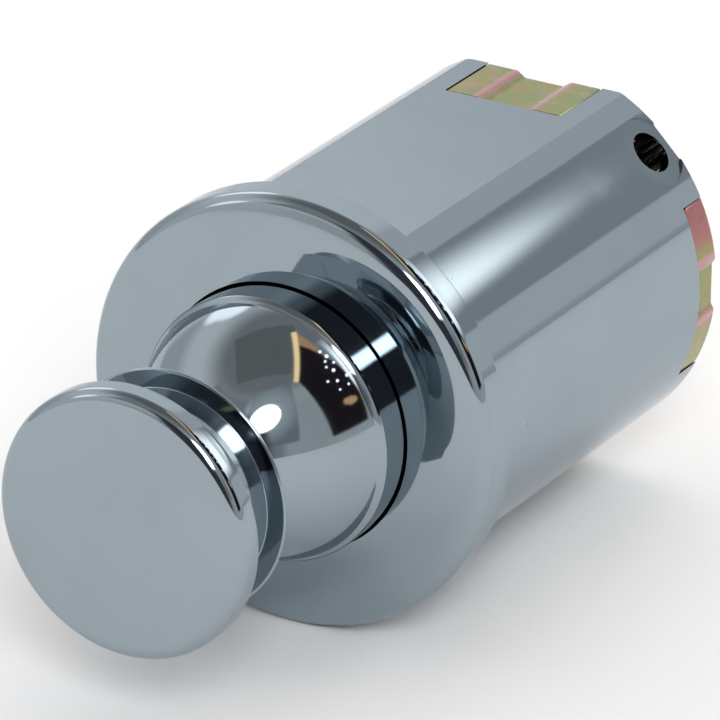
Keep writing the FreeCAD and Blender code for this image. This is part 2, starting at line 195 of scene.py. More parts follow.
# %% Helpers for finishes
class Finish(Tree):
    """A material written as formulas on the piece's own coordinates."""

    def __init__(self, name):
        self.material = bpy.data.materials.new(name)
        self.material.use_nodes = True
        self.material.node_tree.nodes.clear()
        super().__init__(self.material.node_tree.nodes, self.material.node_tree.links)
        self.place = self.add("ShaderNodeTexCoord", output="Object")

    def axes(self):
        split = self.add("ShaderNodeSeparateXYZ", inputs={0: self.place})
        return split, split.take("Y"), split.take("Z")

    def stretched(self, x, y, z):
        """Object coordinates in units of the given sizes, in millimetres along each axis."""
        return self.vectors("MULTIPLY", self.place, (1 / (x * MM), 1 / (y * MM), 1 / (z * MM)))

    def noise(self, size, detail=2.0):
        """Noise whose lumps have the given size in mm."""
        return self.streaks((size, size, size), detail)

    def streaks(self, sizes, detail=3.0):
        """Noise with a size of its own along each axis, which draws it out into lines or rings."""
        inputs = {"Vector": self.stretched(*sizes), "Scale": 1.0, "Detail": detail}
        return self.add("ShaderNodeTexNoise", {"noise_dimensions": "3D"}, inputs)

    def cells(self, size):
        """Distance from the nearest of many scattered points, in units of the given size."""
        inputs = {"Vector": self.stretched(size, size, size), "Scale": 1.0}
        return self.add("ShaderNodeTexVoronoi", {"feature": "F1"}, inputs)

    def bump(self, height, depth):
        """A bump whose height runs from 0 to 1 over a depth in metres."""
        return self.add("ShaderNodeBump", inputs={"Strength": 1.0, "Distance": depth, "Height": height})

    def surface(self, **sockets):
        names = {name.replace("_", " ").title(): value for name, value in sockets.items()}
        shader = self.add("ShaderNodeBsdfPrincipled", inputs=names)
        self.add("ShaderNodeOutputMaterial", inputs={"Surface": shader})
        print("finish:", self.material.name)
        return self.material


print("helpers ready")

# %% [markdown]
# ## Polished chrome
#
# Chrome plate is a mirror with a slightly blue cast. What makes it look handled rather than computed is
# small: a faint haze that comes and goes, specks of dust, hair-fine polishing marks, and one pit in the
# barrel's plating. The haze and the dust feed the roughness. The marks, the dust and the pit feed a bump,
# with the marks a fraction of a micron deep. A tint for grazing views keeps the edges from going white.

# %% Polished chrome
chrome_tint = colour(0.325, 0.382, 0.421)
chrome_haze_tint = colour(0.302, 0.356, 0.392)
chrome_grazing = colour(0.80, 0.82, 0.84)
chrome_gloss = 0.035
chrome_haze = 0.05
dust_roughness = 0.2
mark_depth = 0.0008 * MM
pit_place = (12.5 * MM, 4.2 * MM, -0.2 * MM)
pit_edge = 0.42 * MM
pit_floor = 0.12 * MM
pit_depth = 40.0


def polished_chrome(name, marks, pit=None):
    """Chrome plate with polishing marks of the given sizes in mm, and a pit at one point if asked."""
    finish = Finish(name)
    haze = finish.noise(6.0, detail=4.0).between(0.45, 0.75)
    dust = finish.cells(0.9).between(0.07, 0.03)
    dusty = dust * finish.noise(4.0).between(0.5, 0.62)
    height = finish.streaks(marks) * 0.5 + dusty * 0.3
    if pit is not None:
        offset = finish.vectors("DISTANCE", finish.place, pit, "Value")
        height = height - offset.between(pit_edge, pit_floor) * pit_depth
    tint = finish.blend(haze * 0.6 + dusty * 0.4, chrome_tint, chrome_haze_tint)
    return finish.surface(base_color=tint, metallic=1.0, specular_tint=chrome_grazing,
                          roughness=haze * chrome_haze + dusty * dust_roughness + chrome_gloss,
                          normal=finish.bump(height, mark_depth))


chrome_barrel = polished_chrome("chrome_barrel", marks=(0.25, 6.0, 0.25), pit=pit_place)
chrome_knob = polished_chrome("chrome_knob", marks=(0.5, 0.5, 0.12))

# %% [markdown]
# ## Yellow zinc
#
# Passivated zinc is a thin film over steel, so its colour is interference: olive and gold on the faces,
# pink where the film thins over an edge, green where it pools. Two slow noises choose the film's colour.
# Where a colour's place is known, a smooth step puts it there: pink along the notch and a deep rose on the
# plate's upper end. The flanks that lie inside the barrel get a near-black painted shade, where its wall
# shades them.

# %% Yellow zinc
notch_edge_x = 1.9 * MM
notch_floor_x = 1.35 * MM
blush_start_x = notch_edge_x + 0.1 * MM
blush_end_x = notch_edge_x + 0.45 * MM
rose_low_z = 2.2 * MM
rose_high_z = 3.6 * MM
flank = (5.2 * MM, 5.35 * MM)
under_wall = (10.9 * MM, 10.6 * MM)
olive_film = colour(0.27, 0.31, 0.12)
gold_film = colour(0.36, 0.30, 0.13)
green_film = colour(0.24, 0.32, 0.15)
pink_film = colour(0.58, 0.30, 0.34)
rose_film = colour(0.44, 0.12, 0.18)
# Painted shade, near black, for the flanks that the barrel's wall shades.
painted_shade_film = colour(0.02, 0.02, 0.015)
zinc_gloss = 0.22
zinc_grain_depth = 0.004 * MM


def yellow_zinc(name, across, rosy=0.0):
    """Zinc film whose notch lies across an axis, 0 for X or 2 for Z, with a share of rose at its top."""
    finish = Finish(name)
    x, _, z = finish.axes()
    side = (x, None, z)[across].maths("ABSOLUTE")
    outward = (z, None, x)[across].maths("ABSOLUTE")
    slow = finish.noise(2.6, detail=3.0)
    pooled = finish.noise(0.9, detail=4.0).between(0.4, 0.7)
    olive = finish.blend(slow.between(0.42, 0.6), olive_film, gold_film)
    face = finish.blend(pooled * 0.55, olive, green_film)
    rim = side.between(notch_floor_x, notch_edge_x) * side.between(blush_end_x, blush_start_x)
    blush = finish.noise(1.4).between(0.5, 0.7)
    film = finish.blend(rim * 0.85 + blush * 0.35, face, pink_film)
    film = finish.blend(z.between(rose_low_z, rose_high_z) * rosy, film, rose_film)
    # Painted shade: the flanks inside the barrel's slots are darkened to near black, as the wall shades them.
    inside = side.between(*flank) * outward.between(*under_wall)
    film = finish.blend(inside * 0.9, film, painted_shade_film)
    grain = finish.streaks((0.12, 1.6, 0.12))
    return finish.surface(base_color=film, metallic=1.0, roughness=slow * 0.12 + zinc_gloss,
                          normal=finish.bump(grain, zinc_grain_depth))


zinc_bolts = yellow_zinc("yellow_zinc_bolts", across=0)
zinc_plate = yellow_zinc("yellow_zinc_plate", across=2, rosy=0.7)

# %% [markdown]
# ## Steel, rubber and nylon
#
# The pieces inside are seen at the rear and through the slots. Turned and drawn steel shows fine rings or
# lines along its axis, rubber a dull grain, and nylon a waxy, uneven white.

# %% Steel, rubber and nylon
ring_sizes = (8.0, 0.09, 8.0)
ring_depth = 0.003 * MM
stain_darkness = 0.78


def turned_steel(name, tint, gloss):
    finish = Finish(name)
    rings = finish.streaks(ring_sizes)
    stain = finish.noise(3.0, detail=3.0)
    stained = colour(*(stain_darkness * v for v in tint[:3]))
    return finish.surface(base_color=finish.blend(stain.between(0.35, 0.7), tint, stained), metallic=1.0,
                          roughness=rings * 0.15 + gloss, normal=finish.bump(rings, ring_depth))


def dull(name, dark, light, gloss, depth):
    finish = Finish(name)
    grain = finish.noise(0.12, detail=3.0)
    shade = finish.blend(finish.noise(2.0).between(0.3, 0.7), dark, light)
    return finish.surface(base_color=shade, metallic=0.0, roughness=grain * 0.2 + gloss,
                          normal=finish.bump(grain, depth))


bright_steel = turned_steel("bright_steel", colour(0.55, 0.56, 0.57), 0.18)
spring_steel = turned_steel("spring_steel", colour(0.34, 0.34, 0.36), 0.25)
black_rubber = dull("black_rubber", colour(0.012, 0.012, 0.013), colour(0.03, 0.03, 0.032), 0.5, 0.01 * MM)
white_nylon = dull("white_nylon", colour(0.66, 0.64, 0.58), colour(0.74, 0.73, 0.69), 0.35, 0.003 * MM)

# %% [markdown]
# ## Outlines for turned pieces
#
# The knob, the barrel and the rings were turned on a lathe, so each is an outline of points (radius,
# place along the axis). Arcs are worked out from three points or from a radius, and every corner of the
# metal is eased a little, because a real edge is never sharp and its small round catches the light.

# %% Arcs and eased corners
def arc(start, middle, end, steps):
    """Points after start on the arc through three points."""
    (ax, ay), (bx, by), (cx, cy) = start, middle, end
    d = 2 * (ax * (by - cy) + bx * (cy - ay) + cx * (ay - by))
    a2, b2, c2 = ax * ax + ay * ay, bx * bx + by * by, cx * cx + cy * cy
    ux = (a2 * (by - cy) + b2 * (cy - ay) + c2 * (ay - by)) / d
    uy = (a2 * (cx - bx) + b2 * (ax - cx) + c2 * (bx - ax)) / d
    radius = math.hypot(ax - ux, ay - uy)
    first, passing, last = (math.atan2(y - uy, x - ux) for x, y in (start, middle, end))
    sweep = (last - first) % math.tau
    if (passing - first) % math.tau > sweep:
        sweep -= math.tau
    angles = [first + sweep * i / steps for i in range(1, steps + 1)]
    return [(ux + radius * math.cos(angle), uy + radius * math.sin(angle)) for angle in angles]


def bulge(start, end, radius, steps):
    """Points after start on an arc of a given radius that swells away from the axis and the front."""
    a, c = Vector(start), Vector(end)
    half = (c - a).length / 2
    rise = radius - math.sqrt(radius * radius - half * half)
    normal = Vector((c.y - a.y, a.x - c.x)).normalized()
    return arc(start, (a + c) / 2 + normal * rise, end, steps)


def eased(outline, radius, limit=25.0, steps=6):
    """Round every corner of an outline that turns by more than the limit."""
    points = [Vector(p) for p in outline]
    result = [points[0]]
    for before, corner, after in zip(points, points[1:], points[2:]):
        back, on = before - corner, after - corner
        turn = 180.0 - math.degrees(back.angle(on))
        if turn < limit:
            result.append(corner)
            continue
        reach = min(radius * math.tan(math.radians(turn / 2)), 0.45 * back.length, 0.45 * on.length)
        a, c = corner + back.normalized() * reach, corner + on.normalized() * reach
        for i in range(steps + 1):
            t = i / steps
            result.append(a * (1 - t) ** 2 + corner * (2 * t * (1 - t)) + c * t ** 2)
    return [tuple(p) for p in result + [points[-1]]]


print("a quarter round of", len(arc((1, 0), (0.7071, 0.7071), (0, 1), 8)), "steps")

# %% [markdown]
# ## A lathe in Geometry Nodes
#
# A turned shape follows one rule: each point of the outline goes round the axis. So the lathe is a tree:
# it lays out a grid with one row for each point of the outline and one column for each step of the turn,
# and moves every grid point to its radius, angle and place. Spin would do the same by hand, but the tree
# keeps the rule and the number of steps visible as inputs.

# %% Build the lathe
weld_distance = 0.0001 * MM


def new_tree(name, inputs):
    """A geometry tree with a Geometry input, the named inputs and a Geometry output."""
    group = bpy.data.node_groups.new(name, "GeometryNodeTree")
    group.interface.new_socket("Geometry", in_out="INPUT", socket_type="NodeSocketGeometry")
    for label, kind in inputs.items():
        group.interface.new_socket(label, in_out="INPUT", socket_type="NodeSocket" + kind)
    group.interface.new_socket("Geometry", in_out="OUTPUT", socket_type="NodeSocketGeometry")
    tree = Tree(group.nodes, group.links)
    return group, tree, tree.add("NodeGroupInput")


def close_tree(tree, geometry, source):
    """End a tree: real geometry with its material on it."""
    real = tree.add("GeometryNodeRealizeInstances", inputs={0: geometry})
    made = tree.add("GeometryNodeSetMaterial", inputs={0: real, "Material": source.take("Material")})
    tree.add("NodeGroupOutput", inputs={0: made})


def lathe_tree():
    group, tree, source = new_tree("lathe", {"Steps": "Int", "Material": "Material"})
    steps = source.take("Steps")
    count = tree.add("GeometryNodeAttributeDomainSize", {"component": "MESH"}, {0: source}, "Point Count")
    grid = tree.add("GeometryNodeMeshGrid", inputs={"Vertices X": steps + 1, "Vertices Y": count})
    # A quarter more than the index keeps a division that comes out whole from rounding down.
    index = tree.add("GeometryNodeInputIndex") + 0.25
    column = (index / count).maths("FLOOR")
    row = (index - column * count).maths("FLOOR")
    place = tree.add("GeometryNodeInputPosition")
    sample = tree.add("GeometryNodeSampleIndex", {"data_type": "FLOAT_VECTOR", "domain": "POINT"},
                      {"Geometry": source, "Value": place, "Index": row})
    radius = tree.add("ShaderNodeSeparateXYZ", inputs={0: sample})
    angle = column * math.tau / steps
    inputs = {"X": radius * angle.maths("COSINE"), "Y": radius.take("Y"), "Z": radius * angle.maths("SINE")}
    turned_place = tree.add("ShaderNodeCombineXYZ", inputs=inputs)
    moved = tree.add("GeometryNodeSetPosition", inputs={"Geometry": grid, "Position": turned_place})
    merged = tree.add("GeometryNodeMergeByDistance", inputs={"Geometry": moved, "Distance": weld_distance})
    close_tree(tree, merged, source)
    return group


lathe = lathe_tree()
print("lathe tree:", len(lathe.nodes), "nodes")

# %% [markdown]
# ## From a tree to a finished piece
#
# A tree runs once, and its result is kept as a plain mesh, so that later cuts have real faces to work on. A
# finished piece is smooth up to its edges, moves with its body and stands in for its node of the model.

# %% Run a tree and finish a piece
edge_angle = 21.0
slots = {part["node"]: part["material_slot"] for part in frame["record"]["subparts"]}


def placed(name, data):
    """An object in the scene that carries the given mesh, light or camera."""
    made = bpy.data.objects.new(name, data)
    bpy.context.scene.collection.objects.link(made)
    return made


def grown(name, mesh, group, **inputs):
    """Run a tree on a mesh once, and keep what it makes as a plain mesh with its faces outwards."""
    piece = placed(name, mesh)
    modifier = piece.modifiers.new(group.name, "NODES")
    modifier.node_group = group
    for item in group.interface.items_tree:
        if item.in_out == "INPUT" and item.name in inputs:
            modifier[item.identifier] = inputs[item.name]
    return settled(piece)


def settled(piece):
    """Replace a piece's modifiers by the plain mesh that they make."""
    evaluated = piece.evaluated_get(bpy.context.evaluated_depsgraph_get())
    mesh = bpy.data.meshes.new_from_object(evaluated)
    piece.modifiers.clear()
    piece.data = mesh
    shape = bmesh.new()
    shape.from_mesh(mesh)
    bmesh.ops.remove_doubles(shape, verts=shape.verts, dist=weld_distance)
    bmesh.ops.recalc_face_normals(shape, faces=shape.faces)
    shape.to_mesh(mesh)
    shape.free()
    mesh.name = piece.name
    return piece


def turned(name, outline, material, steps=256):
    """A solid of revolution about the barrel's axis."""
    mesh = bpy.data.meshes.new(name)
    mesh.from_pydata([(radius, y, 0.0) for radius, y in outline], [], [])
    piece = grown(name, mesh, lathe, Steps=steps, Material=material)
    print(name, "turned:", len(piece.data.polygons), "faces")
    return piece


def finished(piece, body, node):
    """Shade a piece smoothly up to its edges, and let it ride on its body in place of its CAD node."""
    piece.data.shade_smooth()
    piece.data.set_sharp_from_angle(angle=math.radians(edge_angle))
    weighted = piece.modifiers.new("even_normals", "WEIGHTED_NORMAL")
    weighted.keep_sharp = True
    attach(piece, body)
    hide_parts(node)
    return piece


print("material slots:", ", ".join(sorted(set(slots.values()))))

# %% [markdown]
# ## The knob
#
# The knob is one turned piece: a flat disc to pull on, a groove and a thin ring behind it, a narrow neck
# with a cove, a domed shoulder that sinks into the barrel, a plain skirt, and a collar that keeps it in.
# The groove and the ring's face stand square to each other, so they throw the view back at itself and
# show what is round the camera. The dome mirrors the whole room, so it gets the most points.

# %% Turn the knob
knob_radius = collar_radius - 1.0 * MM
collar_front_y = knob_rear_y - 2.0 * MM
disc_rear_y = knob_front_y + 1.7 * MM
disc_round = 0.8 * MM
groove_radius = 6.4 * MM
groove_y = disc_rear_y + 0.9 * MM
ring_radius = 7.6 * MM
ring_front_y = disc_rear_y + 4.2 * MM
ring_rear_y = ring_front_y + 0.2 * MM
ring_round = 0.12 * MM
neck_radius = 3.8 * MM
neck_y = disc_rear_y + 5.9 * MM
neck_cove_radius = 6.0 * MM
neck_cove_steps = 16
dome_root_radius = 4.2 * MM
dome_height = 6.0 * MM
dome_radius = 11.5 * MM
dome_inset = 0.3 * MM
dome_drop = 0.4 * MM
hollow_radius = 6.4 * MM
hollow_floor_y = knob_rear_y - 8.5 * MM
rod_bore_radius = 2.25 * MM
rod_bore_floor_y = hollow_floor_y - 8.6 * MM
fine_ease = 0.1 * MM


def quarter(start, corner, end, steps=10):
    """Points after start on the quarter round inside a corner."""
    centre = Vector(start) + Vector(end) - Vector(corner)
    outward = (Vector(corner) - centre).normalized()
    return arc(start, centre + outward * (Vector(start) - centre).length, end, steps)


def neck_cove():
    """Points on the cove that widens from the neck to the dome's root."""
    turn = math.acos(1 - (dome_root_radius - neck_radius) / neck_cove_radius)
    centre_radius = neck_radius + neck_cove_radius
    angles = [turn * i / neck_cove_steps for i in range(neck_cove_steps + 1)]
    return [(centre_radius - neck_cove_radius * math.cos(a), neck_y + neck_cove_radius * math.sin(a))
            for a in angles]


def knob_outline():
    edge = knob_radius - disc_round
    cove = neck_cove()
    root = cove[-1]
    shoulder = (knob_radius - dome_inset, root[1] + dome_height)
    skirt = (knob_radius, shoulder[1] + dome_drop)
    outline = [(0.0, knob_front_y), (edge, knob_front_y)]
    outline += quarter(outline[-1], (knob_radius, knob_front_y), (knob_radius, knob_front_y + disc_round))
    outline += [(knob_radius, disc_rear_y), (groove_radius, groove_y), (groove_radius, ring_front_y)]
    outline += [(ring_radius - ring_round, ring_front_y)]
    outline += quarter(outline[-1], (ring_radius, ring_front_y), (ring_radius, ring_front_y + ring_round))
    outline += [(ring_radius, ring_rear_y)] + cove
    outline += bulge(root, shoulder, dome_radius, steps=48)
    outline += bulge(shoulder, skirt, 2 * dome_drop, steps=6)
    outline += [(knob_radius, collar_front_y), (collar_radius, collar_front_y), (collar_radius, knob_rear_y),
                (hollow_radius, knob_rear_y), (hollow_radius, hollow_floor_y),
                (rod_bore_radius, hollow_floor_y), (rod_bore_radius, rod_bore_floor_y),
                (0.0, rod_bore_floor_y)]
    return eased(outline, fine_ease)


finished(turned("knob_polished", knob_outline(), chrome_knob), "knob_group", "knob")

# %% [markdown]
# ## Tools to mill with
#
# What isn't round is cut from a blank or with a cutter: a box, a cylinder or a bar. Milling is a boolean
# cut here, as on the machine, and the exact solver leaves the faces between the cuts untouched. A narrow
# bevel can ease the new edges.

# %% Cutters and cuts
def solid_box(x, y, z):
    """A box mesh object between the limits given for each axis, used as a cutter or a blank."""
    shape = bmesh.new()
    bmesh.ops.create_cube(shape, size=1.0)
    for vertex in shape.verts:
        sides = zip(vertex.co, (x, y, z))
        vertex.co = Vector([limits[0] if part < 0 else limits[1] for part, limits in sides])
    return loose_object("box", shape)


def drum(radius, start, end, steps=96):
    """A cylinder mesh object from one point to another."""
    start, end = Vector(start), Vector(end)
    turn = (end - start).to_track_quat("Z", "Y").to_matrix().to_4x4()
    turn.translation = (start + end) / 2
    shape = bmesh.new()
    bmesh.ops.create_cone(shape, cap_ends=True, segments=steps, radius1=radius, radius2=radius,
                          depth=(end - start).length, matrix=turn)
    return loose_object("drum", shape)


def extruded(profile, y0, y1):
    """A bar along Y whose section is a list of (x, z) corners."""
    shape = bmesh.new()
    front = [shape.verts.new((x, y0, z)) for x, z in profile]
    face = shape.faces.new(front)
    grown_part = bmesh.ops.extrude_face_region(shape, geom=[face])
    moved = [g for g in grown_part["geom"] if isinstance(g, bmesh.types.BMVert)]
    bmesh.ops.translate(shape, verts=moved, vec=(0.0, y1 - y0, 0.0))
    return loose_object("bar", shape)


def loose_object(name, shape):
    bmesh.ops.recalc_face_normals(shape, faces=shape.faces)
    mesh = bpy.data.meshes.new(name)
    shape.to_mesh(mesh)
    shape.free()
    return placed(name, mesh)


def combined(piece, operation, others):
    """Cut or join other solids, one after another, and delete them."""
    for other in others:
        modifier = piece.modifiers.new(operation.lower(), "BOOLEAN")
        modifier.operation = operation
        modifier.solver = "EXACT"
        modifier.object = other
    settled(piece)
    for other in others:
        bpy.data.objects.remove(other)
    return piece


def softened(piece, width, limit=30.0, segments=3):
    """Ease a piece's edges with a narrow bevel."""
    bevel = piece.modifiers.new("eased_edges", "BEVEL")
    bevel.width = width
    bevel.segments = segments
    bevel.limit_method = "ANGLE"
    bevel.angle_limit = math.radians(limit)
    bevel.use_clamp_overlap = False
    return settled(piece)


def dress_material(piece, material):
    piece.data.materials.clear()
    piece.data.materials.append(material)


print("cutters ready")

# %% [markdown]
# ## The barrel
#
# The barrel is turned like the knob, and then milled: a flat along its top, four slots in the rear wall, and
# a cross hole with a shallow spot face. The flange's face is plane and falls away only near its edge, so it
# mirrors one even patch of the room and ends in a narrow bright line.

# %% Turn and mill the barrel
crown_slope = math.radians(15.0)
crown_steps = 16
crown_width = 2.2 * MM
flange_round = 1.0 * MM
mouth_radius = knob_radius + 0.14 * MM
lip_y = 0.4 * MM
seal_front_y = low["front_seal"].y
seal_rear_y = high["front_seal"].y
rear_chamfer = 0.15 * MM
flat_gap = 0.07 * MM
slot_gap = 0.08 * MM
cross_hole_y = rear_y - 2.0 * MM
cross_hole_radius = 1.4 * MM
spot_radius = 2.4 * MM
spot_depth = 0.3 * MM
cross_way = Vector((1.0, 0.0, 1.0)).normalized()
head_half = high["bolt_top"].x - 1.2 * MM
far = 4 * barrel_radius


def flange_outline():
    """A plane face that falls away near its edge, and a round that takes up the slope there."""
    edge = flange_radius - flange_round
    crown_start = edge + flange_round * math.sin(crown_slope) - crown_width
    bend = crown_width / math.sin(crown_slope)
    slopes = [crown_slope * i / crown_steps for i in range(crown_steps + 1)]
    face = [(mouth_radius, face_y)]
    face += [(crown_start + bend * math.sin(a), face_y + bend * (1 - math.cos(a))) for a in slopes]
    round_y = face[-1][1] + flange_round * math.cos(crown_slope)
    slopes = [crown_slope + (math.pi / 2 - crown_slope) * i / crown_steps for i in range(1, crown_steps + 1)]
    return face + [(edge + flange_round * math.sin(a), round_y - flange_round * math.cos(a)) for a in slopes]


def barrel_outline():
    outline = flange_outline()
    outline += [(flange_radius, 0.0), (barrel_radius, 0.0), (barrel_radius, rear_y - rear_chamfer),
                (barrel_radius - rear_chamfer, rear_y), (rear_bore_radius, rear_y),
                (rear_bore_radius, guide_front_y), (bore_radius, guide_front_y), (bore_radius, lip_y),
                (mouth_radius, lip_y), (mouth_radius, seal_rear_y), (seal_radius, seal_rear_y),
                (seal_radius, seal_front_y), (mouth_radius, seal_front_y), (mouth_radius, face_y)]
    return eased(outline, fine_ease)


def barrel_cutters():
    half_slot = head_half + slot_gap
    half_side = high["bridge_plate"].z + slot_gap
    bolt_front = low["bolt_top"].y - flat_gap
    plate_front = low["bridge_plate"].y
    everywhere = (-far, far)
    inside = Vector((0.0, cross_hole_y, 0.0))
    floor = inside + cross_way * (barrel_radius - spot_depth)
    return [
        solid_box(everywhere, (0.0, far), (flat_height, far)),
        solid_box((-half_slot, half_slot), (bolt_front, far), everywhere),
        solid_box(everywhere, (plate_front, far), (-half_side, half_side)),
        drum(cross_hole_radius, inside, inside + cross_way * far),
        drum(spot_radius, floor, floor + cross_way * far)]


barrel = combined(turned("barrel_polished", barrel_outline(), chrome_barrel), "DIFFERENCE", barrel_cutters())
dress_material(barrel, chrome_barrel)
finished(barrel, "housing", "barrel_housing")
print("barrel milled:", len(barrel.data.polygons), "faces")

# %% [markdown]
# ## The seal in the mouth
#
# A black ring closes the gap between the knob and the flange's mouth. It is turned as well, with a lip that
# leans on the knob, so that the gap reads as a soft black line and not as a hole.

# %% Turn the seal
seal_inner = knob_radius + fit_gap
seal_lip = 0.3 * MM
seal_ease = 0.08 * MM
seal_outline = [
    (seal_inner, seal_front_y + seal_lip), (seal_inner + seal_lip, seal_front_y),
    (seal_radius, seal_front_y), (seal_radius, seal_rear_y), (seal_inner, seal_rear_y),
    (seal_inner, seal_front_y + seal_lip)]
finished(turned("mouth_seal", eased(seal_outline, seal_ease), black_rubber), "housing", "front_seal")

# %% [markdown]
# ## The latch bolts
#
# Each bolt is a block of steel with a notch along its end, which gives it two gripping pads, and behind it
# shoulders and a fork astride the cam plate. The section of the head is a short list of corners, extruded
# along the barrel, and the rest is joined on and cut away as a file and a mill would do it. The fork's depth
# follows from the cam's slanting edge, which passes under it as the bolt moves out.

# %% Cut the bolts
plate_gap = 0.1 * MM
cam_travel = 3.6 * MM
bolt_travel = 2.4 * MM
cam_slope = bolt_travel / cam_travel
cam_edge = 2.85 * MM
tongue_half = high["bolt_top"].x
tongue_top = 6.3 * MM
tongue_rear_y = low["bridge_plate"].y - plate_gap
bolt_front_y = low["bolt_top"].y
bolt_rear_y = high["bolt_top"].y
bolt_foot = low["bolt_top"].z
head_bottom = high["bridge_plate"].z + plate_gap
fork_half = high["cam_plate"].x + plate_gap
notch_depth = 0.38 * MM
pin_radius = (high["bolt_pin_top"].z - low["bolt_pin_top"].z) / 2
pin_y = (high["bolt_pin_top"].y + low["bolt_pin_top"].y) / 2
pin_z = (high["bolt_pin_top"].z + low["bolt_pin_top"].z) / 2
bolt_ease = 0.13 * MM


def barrel_core():
    """The space within the barrel's outer surface, which rounds the ends that lie flush with it."""
    return drum(barrel_radius - fit_gap, (0.0, 0.0, 0.0), (0.0, far, 0.0), steps=256)


def bolt_head(top):
    """The head's section: a bar whose top has a notch with flared sides."""
    return [(-head_half, head_bottom), (head_half, head_bottom), (head_half, top), (notch_edge_x, top),
            (notch_floor_x, top - notch_depth), (-notch_floor_x, top - notch_depth), (-notch_edge_x, top),
            (-head_half, top)]


def bolt(name, top, round_end):
    """A bolt that points up, with its end flat or rounded to the barrel's outside."""
    piece = extruded(bolt_head(top), bolt_front_y, bolt_rear_y)
    piece.name = name
    tongue = solid_box((-tongue_half, tongue_half), (bolt_front_y, tongue_rear_y), (bolt_foot, tongue_top))
    combined(piece, "UNION", [tongue])
    fork_top = cam_edge + cam_slope * (pin_y - bolt_front_y) + 3 * plate_gap
    cutters = [solid_box((-fork_half, fork_half), (0.0, far), (-far, fork_top)),
               drum(pin_radius, (-far, pin_y, pin_z), (far, pin_y, pin_z))]
    combined(piece, "DIFFERENCE", cutters)
    if round_end:
        combined(piece, "INTERSECT", [barrel_core()])
    softened(piece, bolt_ease)
    dress_material(piece, zinc_bolts)
    return piece


top_bolt = finished(bolt("latch_bolt_top", flat_height, False), "bolt_upper", "bolt_top")
bottom_bolt = bolt("latch_bolt_bottom", barrel_radius, True)
for vertex in bottom_bolt.data.vertices:
    vertex.co = Vector((-vertex.co.x, vertex.co.y, -vertex.co.z))
finished(bottom_bolt, "bolt_lower", "bolt_bottom")
print("bolts:", len(top_bolt.data.polygons), "and", len(bottom_bolt.data.polygons), "faces")

# %% [markdown]
# ## The bridge plate
#
# The plate closes the rear end. Its two ends show in the side slots of the barrel, flush with the wall, and
# each has the same notch as a bolt. Four countersunk holes take its screws, and a slot lets the cam through.

# %% Cut the bridge plate
plate_half = high["bridge_plate"].z
plate_front_y = low["bridge_plate"].y
plate_rear_y = high["bridge_plate"].y
plate_corner = 0.6 * MM
screw_radius = 0.45 * MM
screw_gap = 0.02 * MM
screw_head_radius = 0.85 * MM
screw_head_y = plate_rear_y - 0.85 * MM
screw_z = 3.4 * MM
screw_x = math.sqrt(((rear_bore_radius + barrel_radius) / 2) ** 2 - screw_z ** 2)


def plate_notch(side):
    """A bar that cuts the notch in one end of the plate, and reaches out as far again."""
    mouth = 2 * notch_edge_x - notch_floor_x
    inner, outer = side * (barrel_radius - notch_depth), side * (barrel_radius + notch_depth)
    corners = [(inner, -notch_floor_x), (outer, -mouth), (outer, mouth), (inner, notch_floor_x)]
    return extruded(corners, 0.0, far)


def bridge_plate():
    front_edge = plate_front_y + plate_corner
    section = [(plate_rear_y, -plate_half), (plate_rear_y, plate_half), (front_edge, plate_half)]
    section += quarter((front_edge, plate_half), (plate_front_y, plate_half),
                       (plate_front_y, plate_half - plate_corner), 6)
    section += [(plate_front_y, -plate_half + plate_corner)]
    section += quarter((plate_front_y, -plate_half + plate_corner), (plate_front_y, -plate_half),
                       (front_edge, -plate_half), 6)
    shape = bmesh.new()
    ends = [[shape.verts.new((x, y, z)) for y, z in section] for x in (-far, far)]
    shape.faces.new(ends[0])
    shape.faces.new(ends[1])
    for i in range(len(section)):
        j = (i + 1) % len(section)
        shape.faces.new((ends[0][i], ends[0][j], ends[1][j], ends[1][i]))
    piece = loose_object("bridge_plate_zinc", shape)
    combined(piece, "INTERSECT", [barrel_core()])
    slot_half = cam_edge + cam_slope * (pin_y + cam_travel - plate_front_y) + 2 * plate_gap
    cutters = [plate_notch(1), plate_notch(-1)]
    cutters += [solid_box((-fork_half, fork_half), (0.0, far), (-slot_half, slot_half))]
    for x in (-screw_x, screw_x):
        for z in (-screw_z, screw_z):
            cutters.append(drum(screw_radius + screw_gap, (x, 0.0, z), (x, far, z), steps=32))
            cutters.append(drum(screw_head_radius + fit_gap, (x, screw_head_y, z), (x, far, z), steps=48))
    combined(piece, "DIFFERENCE", cutters)
    softened(piece, bolt_ease)
    dress_material(piece, zinc_plate)
    return piece


plate = finished(bridge_plate(), "housing", "bridge_plate")
print("bridge plate:", len(plate.data.polygons), "faces")

# %% [markdown]
# ## Screws and posts, four of each
#
# What repeats comes from one tree: it puts a copy of the piece on each corner of a rectangle across the
# barrel. The screw and the post are turned once on the barrel's axis and then copied by it.

# %% Set four screws and four posts
screw_ease = 0.08 * MM
screw_slot_half = 0.175 * MM
screw_slot_depth = 0.4 * MM
post_radius = 1.1 * MM
post_ease = 0.12 * MM
post_front_y, post_rear_y = low["spacer_posts"].y, high["spacer_posts"].y


def corners_tree():
    names = {"Width": "Float", "Height": "Float", "Material": "Material"}
    group, tree, source = new_tree("four_corners", names)
    sizes = {"Size X": source.take("Width"), "Size Y": source.take("Height"),
             "Vertices X": 2, "Vertices Y": 2}
    grid = tree.add("GeometryNodeMeshGrid", inputs=sizes)
    turn = (math.pi / 2, 0.0, 0.0)
    upright = tree.add("GeometryNodeTransform", inputs={"Geometry": grid, "Rotation": turn})
    copies = tree.add("GeometryNodeInstanceOnPoints", inputs={"Points": upright, "Instance": source})
    close_tree(tree, copies, source)
    return group


def four(name, blank, width, height, material):
    """Four copies of a blank at the corners of a rectangle, as one mesh."""
    mesh = blank.data
    bpy.data.objects.remove(blank)
    made = grown(name, mesh, corners, Width=width, Height=height, Material=material)
    dress_material(made, material)
    return made


